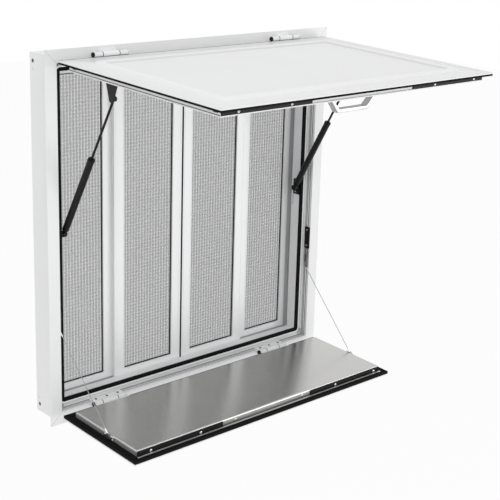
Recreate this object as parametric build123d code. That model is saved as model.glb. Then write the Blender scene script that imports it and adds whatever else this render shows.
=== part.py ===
from build123d import *
from math import atan2, cos, degrees, hypot, radians, sin
import os

# Concession window with a lift-up awning and a drop-down shelf, in millimetres.
# X runs to the right, +Y into the wall and +Z up. The origin lies on the back of the bottom flange.

# Frame
FRAME_W = 914.0            # over the flange
FRAME_H = 930.0
FLANGE_T = 3.0             # plate thickness
FLANGE_FACE = 32.0         # visible width of the flange plate
FLANGE_LIP = 14.0          # part of it that overlaps the wall
FRAME_WALL = 2.0           # wall of the hollow extrusion
LEDGE_Y = 25.0             # front of the weatherstrip ledge, from the back of the flange
LEDGE_STEP = 20.0          # how far the ledge stands in from the reveal
REVEAL_GROOVES = (4.5, 11.0)
GROOVE_W = 2.5
GROOVE_DEPTH = 1.5
SIDE_HOLE_R = 5.0
SIDE_HOLE_Y = 70.0
SIDE_HOLE_END = 33.0       # from the end of the flange

# Sash tracks and sashes
TRACK_Y = 57.0             # front of the first track
TRACK_W = 10.0
TRACK_FIN = 2.0
TRACK_DEPTH = 8.0
TRACK_BACK = 3.0           # wall behind the second track
SASH_T = 9.0
SASH_STILE = 31.0
SASH_RAIL = 24.0
SASH_GAP = 2.0             # at the ends and over the top, so that a sash lifts out
OUTER_SASH_W = 195.0
SASH_OVERLAP = 4.0
MEETING_GAP = 4.0
SCREEN_T = 1.2
SCREEN_PITCH = 24.0        # the weave is drawn coarse
SCREEN_WIRE = 1.2

# Weatherstrip on the ledge
STRIP_W = 14.5
STRIP_OVERHANG = 2.5       # past the ledge, over the opening
STRIP_T = 6.0
STRIP_CORNER_R = 14.0
RETAINER_W = 7.0
RETAINER_T = 9.0
RETAINER_GAP = 0.3
RETAINER_END = 10.0        # short of the corner

# Hinges: the pivots stand in front of the flange
UPPER_PIVOT_OUT = 14.0     # from the front of the flange
UPPER_PIVOT_DROP = 17.5    # from the top edge of the flange
BARREL_TO_FLANGE = 0.2     # the lower barrels lie close in front of the sill's edge
HINGE_IN = 173.0           # hinge centre from the side edge of the flange
HINGE_LEN = 96.0
BARREL_R = 6.0
KNUCKLE_MID = 48.0
KNUCKLE_GAP = 2.0
PIN_R = 2.5
PIN_CLEARANCE = 0.05
PIN_CAP_R = 6.0
PIN_CAP_T = 3.0
PIN_CAP_GAP = 0.3
LEAF_T = 2.0
LEAF_DEPTH = 17.0          # back along the sill
UPPER_LEAF_H = 13.0
LEAF_END_GAP = 2.0         # between a moving leaf and the tray
LEAF_ROOM = 1.5            # between the barrel and the middle of the shelf's leaf

# Both panels
SKIN_T = 3.0
SKIN_GAP = 5.5             # between the two skins when both are closed
TRAY_SIDE = 42.0           # side of both trays from the side edge of the flange
SEAL_EDGE = 1.0            # seal held back from the skin's edge
SEAL_TO_TRAY = 0.3

# Awning
AWNING_TILT = 2.4          # below level when open, in degrees
AWNING_SIDE = 24.5         # skin edge from the side edge of the flange
AWNING_FACE = 5.5          # outer face of the skin from the pivot, towards the inner face
AWNING_START = 3.0         # skin edge from the pivot
AWNING_TRAY_START = 24.0
AWNING_TRAY_END = 21.0     # tray front back from the skin's front edge
AWNING_DEPTH = 22.0        # from outer face to inner face
AWNING_SEAL_T = 5.0
TRAY_T = 1.8
TRAY_LIP = 3.0
TRAY_LIP_T = 2.5
FIELD_IN = 50.0            # pressed bead from the skin's edge
FIELD_RISE = 0.5           # field inside the bead, above the border
BEAD_RISE = 4.0
BEAD_OUTER = 12.0          # widths of its outer slope, crest and inner slope
BEAD_CREST = 12.0
BEAD_INNER = 16.0

# Shelf
SHELF_TILT = 2.2
SHELF_FACE = -5.5
SHELF_REACH = 308.0        # skin's front edge from the pivot
SHELF_SIDE = 22.0
SHELF_START = 15.0
SHELF_TRAY_START = 39.0
SHELF_TRAY_END = 22.0
SHELF_DEPTH = 25.0
SHELF_SEAL_T = 7.0
SHELF_T = 1.5
SHELF_LIP = 4.0
SHELF_LIP_T = 3.0
SEAL_NOTCH = 3.0           # room in the seals beside the hinge leaves

# Front strips and handle
STRIP_BAR_T = 3.0
STRIP_BAR_IN = 1.0
AWNING_BAR_LEN = 252.0
AWNING_BAR_H = 11.0
SHELF_BAR_LEN = 262.0
SHELF_BAR_H = 15.0
BAR_SEAT = 1.0
HANDLE_BACK = 58.0         # middle of the handle back from the skin's front edge
HANDLE_W = 154.0           # over the arms where they meet the tray
HANDLE_GRIP_W = 96.0
HANDLE_DROP = 37.0
HANDLE_BAR = 6.5
HANDLE_DEPTH = 18.0

# Struts
STRUT_IN = 68.0            # strut's centre plane from the side edge of the flange
STRUT_FOOT_BACK = 48.0     # foot pivot from the awning's pivot
STRUT_FOOT_DROP = 434.5
STRUT_HEAD_OUT = 158.0     # head pivot from the awning's pivot, with the awning open
STRUT_HEAD_DROP = 74.5
CYLINDER_R = 8.5
CYLINDER_LEN = 238.0       # from the foot pivot
ROD_R = 3.0
ROD_CLEARANCE = 0.05
ROD_INSIDE = 30.0          # length of rod in the cylinder with the awning open
CYLINDER_EDGE = 1.5
BORE_SPARE = 12.0          # left at the bottom of the bore with the awning closed
FOOT_EYE_R = 8.0
HEAD_EYE_R = 6.0
EYE_T = 9.0
EYE_NECK = 12.0
STUD_R = 4.0
STUD_CLEARANCE = 0.05
FOOT_PLATE_T = 3.0
FOOT_PLATE_H = 44.0
FOOT_PLATE_W = 22.0
FOOT_PLATE_BACK = 1.0      # behind the front of the ledge
STUD_END = 1.0             # past the eye
COLLAR_R = 6.0
COLLAR_GAP = 0.5
HEAD_PLATE_T = 3.5
HEAD_PLATE_TOP = 45.0
HEAD_PLATE_TIP_R = 8.0
HEAD_PLATE_FOOT = 12.0     # flange of the bracket against the tray
HEAD_GAP = 0.4             # the rod's eye runs free of the bracket

# Latches and cables
LATCH_Y = 8.5
LATCH_RISE = 302.0         # middle of the block above the shelf's pivot
LATCH_H = 64.0
LATCH_D = 14.0
LATCH_T = 2.0
HOOK_R = 1.25
HOOK_DROP = 52.0
HOOK_LOOP_R = 3.0
CABLE_R = 1.0
SWAGE_R = 1.8
SWAGE_LEN = 13.0
CABLE_END_GAP = 0.3
EYE_PLATE_U = 178.0        # from the pivot
EYE_PLATE_N = 22.0         # post from the skin's outer face
EYE_PLATE_L = 26.0
EYE_PLATE_H = 8.0
EYE_PLATE_RISE = 3.0       # past the post
EYE_PLATE_T = 1.0
EYE_POST_R = 1.8

# Worked out
HALF_W = FRAME_W / 2
BOTTOM = -FLANGE_LIP / 2
TOP = BOTTOM + FRAME_H
FRONT = -FLANGE_T
MID_Z = (BOTTOM + TOP) / 2
LEDGE_IN = FLANGE_FACE + LEDGE_STEP
TRACK_FLOOR = LEDGE_IN - TRACK_DEPTH
SECOND_TRACK_Y = TRACK_Y + TRACK_W + TRACK_FIN
BOX_DEPTH = SECOND_TRACK_Y + TRACK_W + TRACK_BACK
UPPER_Y = FRONT - UPPER_PIVOT_OUT
UPPER_Z = TOP - UPPER_PIVOT_DROP
LOWER_Y = FRONT - BARREL_TO_FLANGE - BARREL_R
LOWER_Z = BOTTOM + FLANGE_FACE + LEAF_T - BARREL_R
AWNING_REACH = UPPER_Z - LOWER_Z - SHELF_REACH - SKIN_GAP
TRAY_HALF = HALF_W - TRAY_SIDE
LATCH_Z = LOWER_Z + LATCH_RISE
STRUT_FOOT_Y = UPPER_Y + STRUT_FOOT_BACK
STRUT_FOOT_Z = UPPER_Z - STRUT_FOOT_DROP
STRUT_HEAD_Y = UPPER_Y - STRUT_HEAD_OUT
STRUT_HEAD_Z = UPPER_Z - STRUT_HEAD_DROP
AWNING_INNER = AWNING_FACE + AWNING_DEPTH
SHELF_INNER = SHELF_FACE + SHELF_DEPTH


def block(x0, x1, y0, y1, z0, z1):
    """A box between two corners."""
    middle = Pos((x0 + x1) / 2, (y0 + y1) / 2, (z0 + z1) / 2)
    return middle * Box(abs(x1 - x0), abs(y1 - y0), abs(z1 - z0))


def bar_along_x(points, x0, x1):
    """A straight bar whose section is a polygon of (y, z) points."""
    section = make_face(Polyline(*[(x0, y, z) for y, z in points], close=True))
    return extrude(section, amount=x1 - x0, dir=(1, 0, 0))


def rod_along_x(x0, x1, y, z, radius):
    return Pos((x0 + x1) / 2, y, z) * Rot(0, 90, 0) * Cylinder(radius, abs(x1 - x0))


def mirrored(shape):
    """The same piece on the other side of the window."""
    return mirror(shape, about=Plane.YZ)


def save(name, *solids):
    """One file for each named piece, or for the like pieces that share a name."""
    shape = solids[0] if len(solids) == 1 else Compound(children=list(solids))
    export_step(shape, f"parts/{name}.step")


# Placing a panel's pieces: they are drawn level in front of the pivot, and then tilted about it.
# u is the distance out from the pivot and n the distance from the pivot towards the inner face.

def on_awning(shape):
    return Pos(0, UPPER_Y, UPPER_Z) * Rot(AWNING_TILT, 0, 0) * shape


def on_shelf(shape):
    return Pos(0, LOWER_Y, LOWER_Z) * Rot(SHELF_TILT, 0, 0) * shape


def panel_block(x0, x1, u0, u1, n0, n1):
    return block(x0, x1, -u1, -u0, n0, n1)


# Frame

def frame_section():
    """Points of the extrusion, as (y, distance in from the flange's edge)."""
    reveal = [(FRONT, 0), (FRONT, FLANGE_FACE)]
    for y in REVEAL_GROOVES:
        low = FLANGE_FACE - GROOVE_DEPTH
        reveal += [(y, FLANGE_FACE), (y, low), (y + GROOVE_W, low), (y + GROOVE_W, FLANGE_FACE)]
    ledge = [(LEDGE_Y, FLANGE_FACE), (LEDGE_Y, LEDGE_IN)]
    tracks = []
    for y in (TRACK_Y, SECOND_TRACK_Y):
        end = y + TRACK_W
        tracks += [(y, LEDGE_IN), (y, TRACK_FLOOR), (end, TRACK_FLOOR), (end, LEDGE_IN)]
    rear = [(BOX_DEPTH, LEDGE_IN), (BOX_DEPTH, FLANGE_LIP), (0, FLANGE_LIP), (0, 0)]
    return reveal + ledge + tracks + rear


def hollow_section():
    """Points of the chamber inside the extrusion."""
    t = FRAME_WALL
    return [
        (0, FLANGE_LIP + t),
        (0, FLANGE_FACE - t),
        (LEDGE_Y + t, FLANGE_FACE - t),
        (LEDGE_Y + t, LEDGE_IN - t),
        (TRACK_Y - t, LEDGE_IN - t),
        (TRACK_Y - t, TRACK_FLOOR - t),
        (BOX_DEPTH - t, TRACK_FLOOR - t),
        (BOX_DEPTH - t, FLANGE_LIP + t),
    ]


def frame_member(length):
    """One length of the extrusion with mitred ends, along X, its outer edge at z = 0."""
    half = length / 2
    bar = bar_along_x(frame_section(), -half, half)
    bar -= bar_along_x(hollow_section(), -half, half)
    corners = [(-half, 0), (half, 0), (half - LEDGE_IN, LEDGE_IN), (LEDGE_IN - half, LEDGE_IN)]
    outline = make_face(Polyline(*[(x, FRONT, z) for x, z in corners], close=True))
    return bar & extrude(outline, amount=BOX_DEPTH - FRONT, dir=(0, 1, 0))


def jamb(side):
    """The left (-1) or right (+1) upright, with its two fixing holes in the box side."""
    member = Pos(side * HALF_W, 0, MID_Z) * Rot(0, -90 * side, 0) * frame_member(FRAME_H)
    outer = side * (HALF_W - FLANGE_LIP)
    inner = outer - side * 2 * FRAME_WALL
    for z in (BOTTOM + SIDE_HOLE_END, TOP - SIDE_HOLE_END):
        member -= rod_along_x(inner, outer + side * FRAME_WALL, SIDE_HOLE_Y, z, SIDE_HOLE_R)
    return member


def frame():
    save("sill", Pos(0, 0, BOTTOM) * frame_member(FRAME_W))
    save("head", Pos(0, 0, TOP) * Rot(0, 180, 0) * frame_member(FRAME_W))
    save("left_jamb", jamb(-1))
    save("right_jamb", jamb(1))


def rounded_ring(inset, width, corner, y0, y1):
    """A flat ring that follows the opening, inset from the flange's edge, with round corners."""
    outer_w = FRAME_W - 2 * inset
    outer_h = FRAME_H - 2 * inset
    face = RectangleRounded(outer_w, outer_h, corner)
    face -= Rectangle(outer_w - 2 * width, outer_h - 2 * width)
    return extrude(Pos(0, y1, MID_Z) * Rot(90, 0, 0) * face, amount=y1 - y0)


def retainer(x, z, length, upright):
    """A bar that holds the weatherstrip's outer edge."""
    size = (RETAINER_W, RETAINER_T, length) if upright else (length, RETAINER_T, RETAINER_W)
    return Pos(x, LEDGE_Y - RETAINER_T / 2, z) * Box(*size)


def weatherstrip():
    inset = LEDGE_IN + STRIP_OVERHANG - STRIP_W
    save("weatherstrip", rounded_ring(inset, STRIP_W, STRIP_CORNER_R, LEDGE_Y - STRIP_T, LEDGE_Y))
    middle = FLANGE_FACE + RETAINER_GAP + RETAINER_W / 2
    across = FRAME_W - 2 * inset - 2 * RETAINER_END
    up = FRAME_H - 2 * inset - 2 * RETAINER_END
    save(
        "weatherstrip_retainers",
        retainer(0, BOTTOM + middle, across, False),
        retainer(0, TOP - middle, across, False),
        retainer(-HALF_W + middle, MID_Z, up, True),
        retainer(HALF_W - middle, MID_Z, up, True),
    )


# Sashes

def woven_screen(width, height):
    """An upright sheet with a plain grid of square openings."""
    across = max(1, round(width / SCREEN_PITCH))
    up = max(1, round(height / SCREEN_PITCH))
    step_x = width / across
    step_z = height / up
    opening = Rectangle(step_x - SCREEN_WIRE, step_z - SCREEN_WIRE)
    sheet = Rectangle(width, height) - GridLocations(step_x, step_z, across, up) * opening
    return Pos(0, SCREEN_T / 2, 0) * Rot(90, 0, 0) * extrude(sheet, amount=SCREEN_T)


def sash(name, x0, x1, y):
    """Two stiles with two rails between them, and the screen that fills them."""
    z0 = BOTTOM + TRACK_FLOOR
    z1 = TOP - TRACK_FLOOR - SASH_GAP
    y0 = y + (TRACK_W - SASH_T) / 2
    y1 = y0 + SASH_T
    left = x0 + SASH_STILE
    right = x1 - SASH_STILE
    save(f"{name}_stiles", block(x0, left, y0, y1, z0, z1), block(right, x1, y0, y1, z0, z1))
    low = z0 + SASH_RAIL
    high = z1 - SASH_RAIL
    save(f"{name}_rails", block(left, right, y0, y1, z0, low), block(left, right, y0, y1, high, z1))
    screen = Pos((left + right) / 2, (y0 + y1) / 2, (low + high) / 2) * woven_screen(right - left, high - low)
    save(f"{name}_screen", screen)


def sashes():
    start = -HALF_W + TRACK_FLOOR + SASH_GAP
    outer_end = start + OUTER_SASH_W
    inner_start = outer_end - SASH_OVERLAP
    sash("left_outer_sash", start, outer_end, SECOND_TRACK_Y)
    sash("left_middle_sash", inner_start, -MEETING_GAP / 2, TRACK_Y)
    sash("right_middle_sash", MEETING_GAP / 2, -inner_start, TRACK_Y)
    sash("right_outer_sash", -outer_end, -start, SECOND_TRACK_Y)


# Hinges, each drawn about its pivot at x = 0

def hinge_places():
    return (-HALF_W + HINGE_IN, HALF_W - HINGE_IN)


def pin_bore(x0, x1):
    return rod_along_x(x0, x1, 0, 0, PIN_R + PIN_CLEARANCE)


def upper_frame_leaf():
    """The head's leaf with the middle knuckle: a plate on the flange's face, above the barrel."""
    half = (KNUCKLE_MID - KNUCKLE_GAP) / 2
    back = UPPER_PIVOT_OUT
    leaf = rod_along_x(-half, half, 0, 0, BARREL_R)
    leaf += block(-half, half, 0, back, BARREL_R - LEAF_T, BARREL_R)
    leaf += block(-half, half, back - LEAF_T, back, BARREL_R - LEAF_T, UPPER_LEAF_H)
    return leaf - pin_bore(-HINGE_LEN, HINGE_LEN)


def lower_frame_leaf():
    """The sill's leaf with the middle knuckle: a plate that lies on the sill behind the barrel."""
    half = (KNUCKLE_MID - KNUCKLE_GAP) / 2
    long = HINGE_LEN / 2
    front = FRONT - LOWER_Y
    leaf = rod_along_x(-half, half, 0, 0, BARREL_R)
    leaf += block(-half, half, 0, front, BARREL_R - LEAF_T, BARREL_R)
    leaf += block(-long, long, front, front + LEAF_DEPTH, BARREL_R - LEAF_T, BARREL_R)
    return leaf - pin_bore(-HINGE_LEN, HINGE_LEN)


def moving_leaf(n0, middle_start, plate_end):
    """The panel's leaf on the skin's inner face, at n0, with the two end knuckles."""
    n1 = n0 + LEAF_T
    half = HINGE_LEN / 2
    leaf = panel_block(-half, half, middle_start, plate_end, n0, n1)
    for side in (-1, 1):
        x0, x1 = sorted((side * (KNUCKLE_MID + KNUCKLE_GAP) / 2, side * half))
        leaf += rod_along_x(x0, x1, 0, 0, BARREL_R)
        leaf += panel_block(x0, x1, 0, plate_end, n0, n1)
        if n0 > BARREL_R:
            leaf += panel_block(x0, x1, 0, AWNING_START - LEAF_END_GAP / 2, 0, n1)
    return leaf - pin_bore(-HINGE_LEN, HINGE_LEN)


def hinge_pin():
    """The pin with the round caps that close the barrel's ends."""
    half = HINGE_LEN / 2 + PIN_CAP_GAP
    pin = rod_along_x(-half, half, 0, 0, PIN_R)
    for side in (-1, 1):
        pin += rod_along_x(side * half, side * (half + PIN_CAP_T), 0, 0, PIN_CAP_R)
    return pin


def hinges():
    upper = [Pos(x, UPPER_Y, UPPER_Z) for x in hinge_places()]
    lower = [Pos(x, LOWER_Y, LOWER_Z) for x in hinge_places()]
    save("upper_hinge_frame_leaves", *[place * upper_frame_leaf() for place in upper])
    save("lower_hinge_frame_leaves", *[place * lower_frame_leaf() for place in lower])
    save("upper_hinge_pins", *[place * hinge_pin() for place in upper])
    save("lower_hinge_pins", *[place * hinge_pin() for place in lower])
    awning_leaf = moving_leaf(AWNING_FACE + SKIN_T, AWNING_START, AWNING_TRAY_START - LEAF_END_GAP)
    awning_leaf = Rot(0, 180, 0) * awning_leaf
    shelf_leaf = moving_leaf(SHELF_FACE + SKIN_T, BARREL_R + LEAF_ROOM, SHELF_TRAY_START - LEAF_END_GAP)
    save("upper_hinge_awning_leaves", *[on_awning(Pos(x, 0, 0) * awning_leaf) for x in hinge_places()])
    save("lower_hinge_shelf_leaves", *[on_shelf(Pos(x, 0, 0) * shelf_leaf) for x in hinge_places()])


# Panels: trays, skins and seals, drawn with the inner face up and turned over for the awning

def pan(u0, u1, n0, n1, wall):
    """An open pan with its floor at n1 and its rim against the skin at n0."""
    shell = panel_block(-TRAY_HALF, TRAY_HALF, u0, u1, n0, n1)
    return shell - panel_block(-TRAY_HALF + wall, TRAY_HALF - wall, u0 + wall, u1 - wall, n0, n1 - wall)


def rim(half, u0, u1, n0, n1, inner_half, inner_u0, inner_u1):
    """A flat ring round a tray."""
    ring = panel_block(-half, half, u0, u1, n0, n1)
    return ring - panel_block(-inner_half, inner_half, inner_u0, inner_u1, n0, n1)


def edge_seal(half, u0, u1, n0, n1, tray_u0, tray_u1):
    """The seal between the skin's edge and the tray, open at the hinges."""
    gap = SEAL_TO_TRAY
    seal = rim(half - SEAL_EDGE, u0, u1 - SEAL_EDGE, n0, n1, TRAY_HALF + gap, tray_u0 - gap, tray_u1 + gap)
    reach = HINGE_LEN / 2 + SEAL_NOTCH
    for x in hinge_places():
        seal -= panel_block(x - reach, x + reach, u0 - 1, tray_u0 + gap, n0, n1)
    return seal


def frustum(width, length, middle, low, high, slope):
    """A low block with four sloping sides, from a rectangle at n = low to a smaller one at n = high."""
    base = Pos(0, middle, low) * Rectangle(width, length)
    crown = Pos(0, middle, high) * Rectangle(width - 2 * slope, length - 2 * slope)
    return loft([base, crown])


def awning_skin():
    """The sheet with its pressed bead and the slightly raised field inside it."""
    half = HALF_W - AWNING_SIDE
    face = AWNING_FACE
    sheet = panel_block(-half, half, AWNING_START, AWNING_REACH, face, face + SKIN_T)
    width = 2 * (half - FIELD_IN)
    length = AWNING_REACH - AWNING_START - 2 * FIELD_IN
    middle = -(AWNING_REACH + AWNING_START) / 2
    crest = face - BEAD_RISE
    inset = 2 * (BEAD_OUTER + BEAD_CREST)
    bead = frustum(width, length, middle, face, crest, BEAD_OUTER)
    bead -= frustum(width - inset, length - inset, middle, crest, face - FIELD_RISE, BEAD_INNER)
    return sheet + bead


def awning():
    over = Rot(0, 180, 0)
    n0 = AWNING_FACE + SKIN_T
    front = AWNING_REACH - AWNING_TRAY_END
    save("awning_skin", on_awning(over * awning_skin()))
    tray = pan(AWNING_TRAY_START, front, n0, AWNING_INNER, TRAY_T)
    lip = TRAY_LIP
    tray += rim(TRAY_HALF + lip, AWNING_TRAY_START - lip, front + lip, AWNING_INNER - TRAY_LIP_T,
                AWNING_INNER, TRAY_HALF - TRAY_T, AWNING_TRAY_START + TRAY_T, front - TRAY_T)
    save("awning_tray", on_awning(over * tray))
    seal = edge_seal(HALF_W - AWNING_SIDE, AWNING_START, AWNING_REACH, n0, n0 + AWNING_SEAL_T,
                     AWNING_TRAY_START, front)
    save("awning_seal", *[on_awning(over * piece) for piece in seal.solids()])
    bar = panel_block(-TRAY_HALF + STRIP_BAR_IN, -TRAY_HALF + STRIP_BAR_IN + AWNING_BAR_LEN,
                      front, front + STRIP_BAR_T,
                      AWNING_INNER - TRAY_LIP_T - AWNING_BAR_H, AWNING_INNER - TRAY_LIP_T)
    save("awning_front_strips", on_awning(over * bar), on_awning(over * mirrored(bar)))
    save("awning_handle", on_awning(over * handle()))


def handle():
    """A pull bent from a flat bar, with arms that slope out from the grip to the tray."""
    n0 = AWNING_INNER
    n1 = n0 + HANDLE_DROP
    bar = HANDLE_BAR
    wide = HANDLE_W / 2
    grip = HANDLE_GRIP_W / 2
    slope = (wide - grip) / HANDLE_DROP
    foot = wide - bar * hypot(1, slope)
    corner = foot - slope * (HANDLE_DROP - bar)
    outline = [(-wide, n0), (-grip, n1), (grip, n1), (wide, n0),
               (foot, n0), (corner, n1 - bar), (-corner, n1 - bar), (-foot, n0)]
    u0 = AWNING_REACH - HANDLE_BACK - HANDLE_DEPTH / 2
    face = make_face(Polyline(*[(x, -u0, n) for x, n in outline], close=True))
    return extrude(face, amount=HANDLE_DEPTH, dir=(0, -1, 0))


def shelf():
    half = HALF_W - SHELF_SIDE
    n0 = SHELF_FACE + SKIN_T
    front = SHELF_REACH - SHELF_TRAY_END
    save("shelf_skin", on_shelf(panel_block(-half, half, SHELF_START, SHELF_REACH, SHELF_FACE, n0)))
    tray = pan(SHELF_TRAY_START, front, n0, SHELF_INNER, SHELF_T)
    tray += panel_block(-TRAY_HALF, TRAY_HALF, front, front + SHELF_LIP, n0, n0 + SHELF_LIP_T)
    save("shelf_tray", on_shelf(tray))
    seal = edge_seal(half, SHELF_START, SHELF_REACH, n0, n0 + SHELF_SEAL_T, SHELF_TRAY_START,
                     front + SHELF_LIP)
    save("shelf_seal", *[on_shelf(piece) for piece in seal.solids()])
    low = n0 + SHELF_LIP_T + BAR_SEAT
    bar = panel_block(-TRAY_HALF + STRIP_BAR_IN, -TRAY_HALF + STRIP_BAR_IN + SHELF_BAR_LEN,
                      front, front + STRIP_BAR_T, low, low + SHELF_BAR_H)
    save("shelf_front_strips", on_shelf(bar), on_shelf(mirrored(bar)))
    eye = cable_eye()
    save("cable_eyes", on_shelf(eye), on_shelf(mirrored(eye)))


# Gas struts, drawn on the left side and mirrored for the right

def strut_line():
    """Length and angle of the strut with the awning open."""
    run = STRUT_HEAD_Y - STRUT_FOOT_Y
    rise = STRUT_HEAD_Z - STRUT_FOOT_Z
    return hypot(run, rise), degrees(atan2(run, rise))


def along_strut(shape):
    """Places a piece that is drawn upright from the foot pivot at the origin."""
    angle = strut_line()[1]
    return Pos(-HALF_W + STRUT_IN, STRUT_FOOT_Y, STRUT_FOOT_Z) * Rot(-angle, 0, 0) * shape


def eye_end(z, radius, towards):
    """A flat eye with its neck, centred on a pivot at height z."""
    half = EYE_T / 2
    neck = Pos(0, 0, z + towards * EYE_NECK / 2) * Cylinder(min(ROD_R, half), EYE_NECK)
    return rod_along_x(-half, half, 0, z, radius) + neck


def strut_stroke():
    """How much shorter the strut is with the awning closed."""
    swing = radians(90 - AWNING_TILT)
    run = STRUT_HEAD_Y - UPPER_Y
    rise = STRUT_HEAD_Z - UPPER_Z
    y = UPPER_Y + run * cos(swing) - rise * sin(swing)
    z = UPPER_Z + run * sin(swing) + rise * cos(swing)
    return strut_line()[0] - hypot(y - STRUT_FOOT_Y, z - STRUT_FOOT_Z)


def strut_cylinder():
    body = Pos(0, 0, (EYE_NECK + CYLINDER_LEN) / 2) * Cylinder(CYLINDER_R, CYLINDER_LEN - EYE_NECK)
    edges = body.edges().filter_by(GeomType.CIRCLE)
    body = chamfer(edges, CYLINDER_EDGE)
    body += eye_end(0, FOOT_EYE_R, 1)
    bore = ROD_INSIDE + strut_stroke() + BORE_SPARE
    body -= Pos(0, 0, CYLINDER_LEN - bore / 2) * Cylinder(ROD_R + ROD_CLEARANCE, bore)
    return body - rod_along_x(-EYE_T, EYE_T, 0, 0, STUD_R + STUD_CLEARANCE)


def strut_rod():
    length = strut_line()[0]
    start = CYLINDER_LEN - ROD_INSIDE
    end = length - HEAD_EYE_R / 2
    rod = Pos(0, 0, (start + end) / 2) * Cylinder(ROD_R, end - start)
    return rod + eye_end(length, HEAD_EYE_R, -1)


def strut_foot():
    """A plate on the jamb's side with the stud that the cylinder turns on."""
    plate_x = -HALF_W + LEDGE_IN
    y0 = LEDGE_Y + FOOT_PLATE_BACK
    plate = block(plate_x, plate_x + FOOT_PLATE_T, y0, y0 + FOOT_PLATE_W,
                  STRUT_FOOT_Z - FOOT_PLATE_H / 2, STRUT_FOOT_Z + FOOT_PLATE_H / 2)
    centre = -HALF_W + STRUT_IN
    stud = rod_along_x(plate_x, centre + EYE_T / 2 + STUD_END, STRUT_FOOT_Y, STRUT_FOOT_Z, STUD_R)
    collar = rod_along_x(plate_x, centre - EYE_T / 2 - COLLAR_GAP, STRUT_FOOT_Y, STRUT_FOOT_Z, COLLAR_R)
    return plate + stud + collar


def strut_head():
    """The bracket under the awning: a tapering plate that ends beside the rod's eye."""
    run = UPPER_Y - STRUT_HEAD_Y
    drop = UPPER_Z - STRUT_HEAD_Z
    tilt = radians(AWNING_TILT)
    u = run * cos(tilt) + drop * sin(tilt)
    n = drop * cos(tilt) - run * sin(tilt)
    x1 = -HALF_W + STRUT_IN - EYE_T / 2 - HEAD_GAP
    x0 = x1 - HEAD_PLATE_T
    half = HEAD_PLATE_TOP / 2
    tip = HEAD_PLATE_TIP_R
    points = [(u - half, AWNING_INNER), (u + half, AWNING_INNER), (u + tip, n), (u - tip, n)]
    face = make_face(Polyline(*[(x0, -a, b) for a, b in points], close=True))
    plate = extrude(face, amount=HEAD_PLATE_T, dir=(1, 0, 0))
    plate += rod_along_x(x0, x1, -u, n, tip)
    plate += panel_block(x0, x0 + HEAD_PLATE_FOOT, u - half, u + half, AWNING_INNER,
                         AWNING_INNER + HEAD_PLATE_T / 2)
    return mirrored(Rot(0, 180, 0) * plate)


def struts():
    cylinder = along_strut(strut_cylinder())
    rod = along_strut(strut_rod())
    save("left_strut_cylinder", cylinder)
    save("right_strut_cylinder", mirrored(cylinder))
    save("left_strut_rod", rod)
    save("right_strut_rod", mirrored(rod))
    foot = strut_foot()
    save("strut_feet", foot, mirrored(foot))
    head = on_awning(strut_head())
    save("strut_heads", head, mirrored(head))


# Latch blocks, hooks and cables

def hook_end():
    """Where the cable meets the hook, on the left side."""
    return (-HALF_W + FLANGE_FACE + LATCH_T + HOOK_R, LATCH_Y - HOOK_LOOP_R,
            LATCH_Z - LATCH_H / 2 - HOOK_DROP - HOOK_LOOP_R)


def latch_block():
    x0 = -HALF_W + FLANGE_FACE
    return block(x0, x0 + LATCH_T, LATCH_Y - LATCH_D / 2, LATCH_Y + LATCH_D / 2,
                 LATCH_Z - LATCH_H / 2, LATCH_Z + LATCH_H / 2)


def hook():
    """A wire hook under the latch block: a straight shank and a half loop towards the room."""
    x = hook_end()[0]
    top = LATCH_Z - LATCH_H / 2
    low = top - HOOK_DROP
    shank = Line((x, LATCH_Y, top), (x, LATCH_Y, low))
    loop = ThreePointArc((x, LATCH_Y, low), (x, LATCH_Y - HOOK_LOOP_R, low - HOOK_LOOP_R),
                         (x, LATCH_Y - 2 * HOOK_LOOP_R, low))
    section = Plane(origin=(x, LATCH_Y, top), z_dir=(0, 0, -1)) * Circle(HOOK_R)
    return sweep(section, path=shank + loop)


def cable_eye():
    """A thin plate on the tray's side with the post that the cable is hooked to, on the left side."""
    x = -TRAY_HALF
    face = x - EYE_PLATE_T
    n = SHELF_FACE + EYE_PLATE_N
    half = EYE_PLATE_L / 2
    plate = panel_block(face, x, EYE_PLATE_U - half, EYE_PLATE_U + half, n - EYE_PLATE_H, n + EYE_PLATE_RISE)
    return plate + rod_along_x(face - 2 * SWAGE_R, face, -EYE_PLATE_U, n, EYE_POST_R)


def cable_bottom():
    """The middle of the cable's post, on the left side."""
    tilt = radians(SHELF_TILT)
    u = EYE_PLATE_U
    n = SHELF_FACE + EYE_PLATE_N
    y = LOWER_Y - u * cos(tilt) - n * sin(tilt)
    z = LOWER_Z - u * sin(tilt) + n * cos(tilt)
    return (-TRAY_HALF - EYE_PLATE_T - SWAGE_R - CABLE_END_GAP, y, z)


def cable():
    """A taut wire rope with a crimped sleeve at each end."""
    top = Vector(*hook_end()) - Vector(0, 0, HOOK_R)
    low = Vector(*cable_bottom())
    line = top - low
    way = line.normalized()
    start = low + way * (EYE_POST_R + CABLE_END_GAP)
    end = top - way * (SWAGE_R + CABLE_END_GAP)
    length = (end - start).length

    def turned(radius, from_start, amount):
        middle = start + way * (from_start + amount / 2)
        return Plane(origin=middle, z_dir=way) * Cylinder(radius, amount)

    wire = turned(CABLE_R, 0, length)
    return wire + turned(SWAGE_R, 0, SWAGE_LEN) + turned(SWAGE_R, length - SWAGE_LEN, SWAGE_LEN)


def latches_and_cables():
    latch = latch_block()
    save("latch_blocks", latch, mirrored(latch))
    bent = hook()
    save("cable_hooks", bent, mirrored(bent))
    line = cable()
    save("left_cable", line)
    save("right_cable", mirrored(line))


os.makedirs("parts", exist_ok=True)
frame()
weatherstrip()
sashes()
hinges()
awning()
shelf()
struts()
latches_and_cables()
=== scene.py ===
import math

import bmesh
import bpy
from mathutils import Matrix, Vector


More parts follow.
